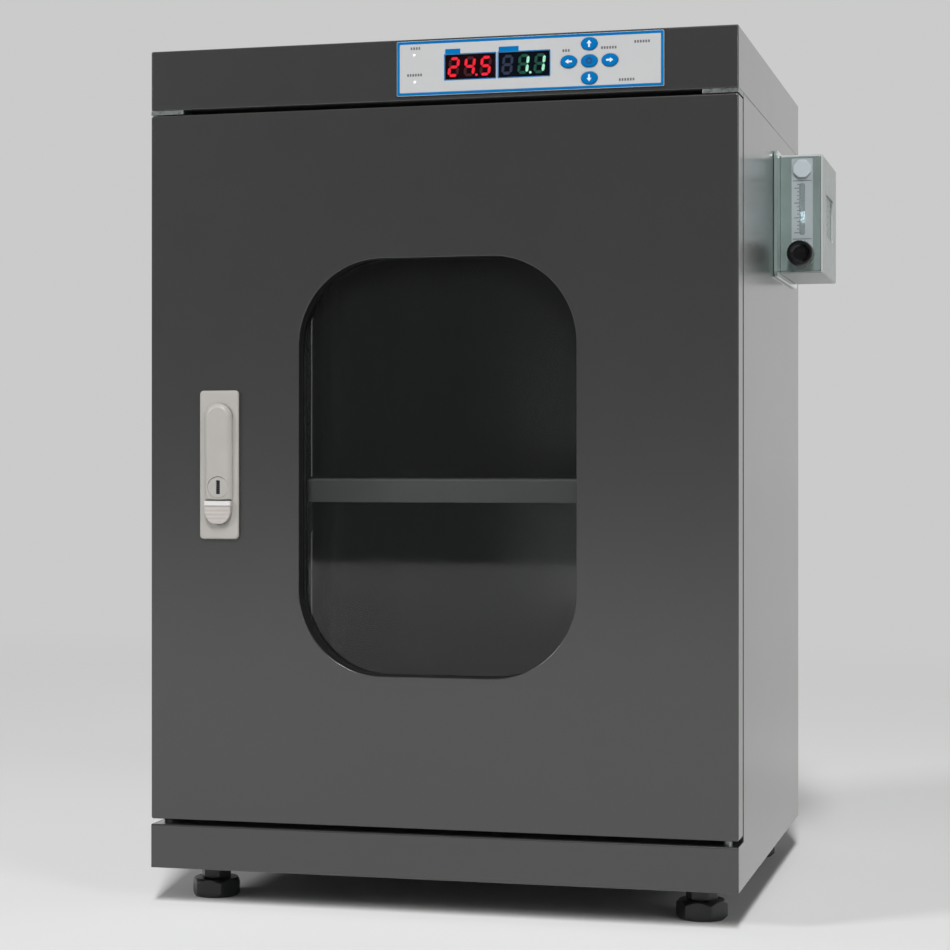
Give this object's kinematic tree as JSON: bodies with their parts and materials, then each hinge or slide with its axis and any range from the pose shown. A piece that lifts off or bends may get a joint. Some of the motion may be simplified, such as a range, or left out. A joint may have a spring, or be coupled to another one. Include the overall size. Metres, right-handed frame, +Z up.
{
  "type": "filament dryer box",
  "caption": "Free-standing sheet-steel dry cabinet with a windowed side-hinged door, key latch, control header, shelf, gas flow meter and screw feet.",
  "frame": {"origin": "on the floor, under the middle of the whole object's plan, flow meter, latch and rear gas fitting included", "axes": "+Z up, front with the door towards -Y, +X to the right as seen from the front, where the flow meter is"},
  "size_m": [0.485, 0.4078, 0.648],
  "materials": {
    "cabinet_paint": "satin fine-textured powder coat, dark grey",
    "inner_paint": "satin powder coat, dark grey",
    "zinc_plate": "zinc plated, satin",
    "cast_zinc": "cast zinc, satin chrome plated",
    "button_finish": "bright satin",
    "rubber": "matt black",
    "black_plastic": "moulded black",
    "window_glass": "clear, faintly grey",
    "clear_acrylic": "clear acrylic with green-grey edges",
    "meter_grey": "light grey, satin",
    "overlay_face": "printed polyester film, satin",
    "key_blue": "blue printed film over a domed key",
    "display_red": "red seven-segment display, lit",
    "display_green": "green seven-segment display, lit",
    "circuit_board": "green laminate",
    "clear_tube": "clear polyurethane hose"
  },
  "bodies": {
    "cabinet": {"side_panel_left": "cabinet_paint", "side_panel_right": "cabinet_paint", "rear_panel": "cabinet_paint", "base_pan": "cabinet_paint", "chamber_floor": "inner_paint", "plinth_front": "cabinet_paint", "front_frame": "inner_paint", "header_shell": "cabinet_paint", "header_floor": "inner_paint", "hinge_plate_upper": "zinc_plate", "hinge_plate_lower": "zinc_plate", "corner_plate_upper": "zinc_plate", "shelf": "inner_paint", "shelf_standard_front_left": "zinc_plate", "shelf_standard_rear_left": "zinc_plate", "shelf_standard_front_right": "zinc_plate", "shelf_standard_rear_right": "zinc_plate", "shelf_clip_front_left": "zinc_plate", "shelf_clip_rear_left": "zinc_plate", "shelf_clip_front_right": "zinc_plate", "shelf_clip_rear_right": "zinc_plate", "control_overlay": "overlay_face", "display_temperature": "display_red", "display_humidity": "display_green", "control_board": "circuit_board", "power_supply": "zinc_plate", "power_inlet": "black_plastic", "gas_inlet": "zinc_plate", "solenoid_valve": "black_plastic", "humidity_probe": "black_plastic", "supply_tube": "clear_tube", "purge_tube": "clear_tube", "meter_wall_plate": "clear_acrylic", "meter_housing": "meter_grey", "meter_block": "clear_acrylic", "meter_plug": "meter_grey"},
    "door": {"door_panel": "cabinet_paint", "door_liner": "inner_paint", "door_gasket": "rubber", "window_gasket": "rubber", "window_glass": "window_glass", "hinge_bush_upper": "black_plastic", "hinge_bush_lower": "black_plastic", "latch_housing": "cast_zinc"},
    "latch_spindle": {"latch_spindle": "zinc_plate", "latch_cam": "zinc_plate"},
    "latch_lever": {"latch_lever": "cast_zinc"},
    "latch_key_plug": {"latch_key_plug": "cast_zinc"},
    "latch_button": {"latch_button": "button_finish"},
    "key_up": {"key_up": "key_blue"},
    "key_down": {"key_down": "key_blue"},
    "key_left": {"key_left": "key_blue"},
    "key_right": {"key_right": "key_blue"},
    "key_center": {"key_center": "key_blue"},
    "meter_float": {"meter_float": "zinc_plate"},
    "meter_knob": {"meter_knob": "black_plastic"},
    "foot_fl": {"foot_fl": "black_plastic"},
    "foot_fr": {"foot_fr": "black_plastic"},
    "foot_rl": {"foot_rl": "black_plastic"},
    "foot_rr": {"foot_rr": "black_plastic"}
  },
  "joints": [
    {"name": "door_swing", "type": "hinge", "parent": "cabinet", "child": "door", "pos_m": [0.1965, -0.1851, 0.332], "axis": [0, 0, 1], "range_deg": [0, 170]},
    {"name": "latch_turn", "type": "hinge", "parent": "door", "child": "latch_spindle", "pos_m": [-0.1866, -0.2007, 0.3694], "axis": [0, -1, 0], "range_deg": [0, 90]},
    {"name": "lever_tilt", "type": "hinge", "parent": "latch_spindle", "child": "latch_lever", "pos_m": [-0.1866, -0.2007, 0.3694], "axis": [-1, 0, 0], "range_deg": [0, 20]},
    {"name": "key_turn", "type": "hinge", "parent": "latch_lever", "child": "latch_key_plug", "pos_m": [-0.1866, -0.2016, 0.317], "axis": [0, 1, 0], "range_deg": [0, 90]},
    {"name": "button_press", "type": "slide", "parent": "door", "child": "latch_button", "axis": [0, 1, 0], "range_m": [0, 0.0025], "stiffness_N_per_m": 900},
    {"name": "key_up_press", "type": "slide", "parent": "cabinet", "child": "key_up", "axis": [0, 1, 0], "range_m": [0, 0.0006], "stiffness_N_per_m": 1500},
    {"name": "key_down_press", "type": "slide", "parent": "cabinet", "child": "key_down", "axis": [0, 1, 0], "range_m": [0, 0.0006], "stiffness_N_per_m": 1500},
    {"name": "key_left_press", "type": "slide", "parent": "cabinet", "child": "key_left", "axis": [0, 1, 0], "range_m": [0, 0.0006], "stiffness_N_per_m": 1500},
    {"name": "key_right_press", "type": "slide", "parent": "cabinet", "child": "key_right", "axis": [0, 1, 0], "range_m": [0, 0.0006], "stiffness_N_per_m": 1500},
    {"name": "key_center_press", "type": "slide", "parent": "cabinet", "child": "key_center", "axis": [0, 1, 0], "range_m": [0, 0.0006], "stiffness_N_per_m": 1500},
    {"name": "float_rise", "type": "slide", "parent": "cabinet", "child": "meter_float", "axis": [0, 0, 1], "range_m": [-0.022, 0.008]},
    {"name": "valve_turn", "type": "hinge", "parent": "cabinet", "child": "meter_knob", "pos_m": [0.226, 0.0199, 0.503], "axis": [0, -1, 0], "range_deg": [-540, 540]},
    {"name": "foot_fl_screw", "type": "slide", "parent": "cabinet", "child": "foot_fl", "axis": [0, 0, -1], "range_m": [0, 0.012]},
    {"name": "foot_fr_screw", "type": "slide", "parent": "cabinet", "child": "foot_fr", "axis": [0, 0, -1], "range_m": [0, 0.012]},
    {"name": "foot_rl_screw", "type": "slide", "parent": "cabinet", "child": "foot_rl", "axis": [0, 0, -1], "range_m": [0, 0.012]},
    {"name": "foot_rr_screw", "type": "slide", "parent": "cabinet", "child": "foot_rr", "axis": [0, 0, -1], "range_m": [0, 0.012]}
  ]
}
